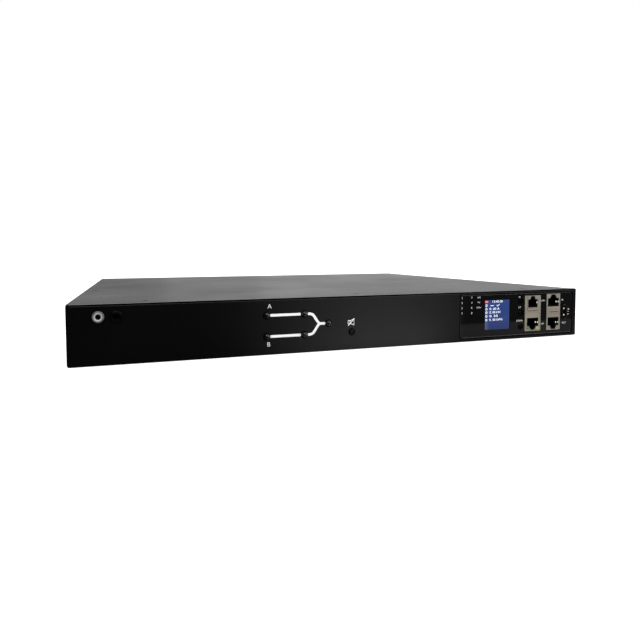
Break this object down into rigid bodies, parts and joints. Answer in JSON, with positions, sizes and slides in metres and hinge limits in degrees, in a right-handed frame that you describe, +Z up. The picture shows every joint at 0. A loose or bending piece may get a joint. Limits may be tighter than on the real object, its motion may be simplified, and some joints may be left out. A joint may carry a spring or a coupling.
{
  "type": "rack static transfer switch",
  "caption": "Flat black rack case that switches its outlets between two mains inlets, with a mimic front, a small display and signal sockets.",
  "frame": {"origin": "under the middle of the case, on the surface it rests on", "axes": "+X to the right seen from the front, +Y to the rear, +Z up"},
  "size_m": [0.44, 0.399, 0.044],
  "materials": {
    "case_paint": "satin black powder coat, fine grain",
    "zinc_steel": "zinc plated",
    "window_gloss": "smoked acrylic, polished",
    "display_glass": "blue backlit display",
    "board_green": "solder-masked laminate",
    "light_guide": "clear acrylic",
    "lamp_smoked": "smoked lamp, unlit",
    "key_black": "moulded",
    "switch_steel": "stamped",
    "jack_black": "moulded",
    "jack_chrome": "plated",
    "shield_tin": "tin plated, folded",
    "contact_gold": "gold flashed",
    "port_lamp": "diffuse lamp",
    "socket_black": "moulded",
    "outlet_grey": "moulded dark grey",
    "blade_brass": "nickel flashed",
    "rail_brass": "rolled strip",
    "sink_alloy": "extruded, clear anodised",
    "module_black": "potted",
    "can_sleeve": "shrink sleeve",
    "core_coat": "epoxy coat",
    "insulation_film": "polyester film",
    "standoff_brass": "nickel plated",
    "screw_steel": "zinc plated"
  },
  "bodies": {
    "case": {"chassis_tray": "case_paint", "front_rail": "zinc_steel", "rear_panel": "case_paint", "top_cover": "case_paint", "front_panel": "case_paint", "display_window": "window_gloss", "lcd_module": "display_glass", "display_board": "board_green", "status_guides": "light_guide", "mimic_board": "board_green", "mimic_lamps": "lamp_smoked", "key_switches": "switch_steel", "metal_jack": "jack_black", "metal_jack_nut": "jack_chrome", "black_jack": "jack_black", "black_jack_nut": "jack_black", "jack_shields": "shield_tin", "serial_jack": "jack_black", "network_jack": "jack_black", "link_jack": "jack_black", "port_contacts": "contact_gold", "port_lamps": "port_lamp", "comm_board": "board_green", "sensor_socket": "socket_black", "sensor_pins": "contact_gold", "inlet_1": "socket_black", "inlet_2": "socket_black", "inlet_blades": "blade_brass", "outlet_contacts": "contact_gold", "live_rail": "rail_brass", "neutral_rail": "rail_brass", "earth_rail": "rail_brass", "power_board": "board_green", "heatsink_a": "sink_alloy", "heatsink_b": "sink_alloy", "thyristors": "module_black", "relays": "module_black", "transformers": "module_black", "capacitors": "can_sleeve", "current_sensors": "core_coat", "control_board": "board_green", "control_chips": "module_black", "insulation_sheet": "insulation_film", "standoffs": "standoff_brass", "case_screws": "screw_steel", "board_screws": "screw_steel", "panel_nuts": "screw_steel", "outlet_1": "outlet_grey", "outlet_2": "outlet_grey", "outlet_3": "outlet_grey", "outlet_4": "outlet_grey", "outlet_5": "outlet_grey", "outlet_6": "outlet_grey", "outlet_7": "outlet_grey", "outlet_8": "outlet_grey"},
    "menu_push": {"menu_key": "key_black"},
    "up_push": {"up_key": "key_black"},
    "down_push": {"down_key": "key_black"},
    "mute_push": {"mute_key": "key_black"}
  },
  "joints": [
    {"name": "menu_press", "type": "slide", "parent": "case", "child": "menu_push", "axis": [0, 1, 0], "range_m": [0, 0.0005], "stiffness_N_per_m": 1000},
    {"name": "up_press", "type": "slide", "parent": "case", "child": "up_push", "axis": [0, 1, 0], "range_m": [0, 0.0005], "stiffness_N_per_m": 1000},
    {"name": "down_press", "type": "slide", "parent": "case", "child": "down_push", "axis": [0, 1, 0], "range_m": [0, 0.0005], "stiffness_N_per_m": 1000},
    {"name": "mute_press", "type": "slide", "parent": "case", "child": "mute_push", "axis": [0, 1, 0], "range_m": [0, 0.0005], "stiffness_N_per_m": 1000}
  ]
}
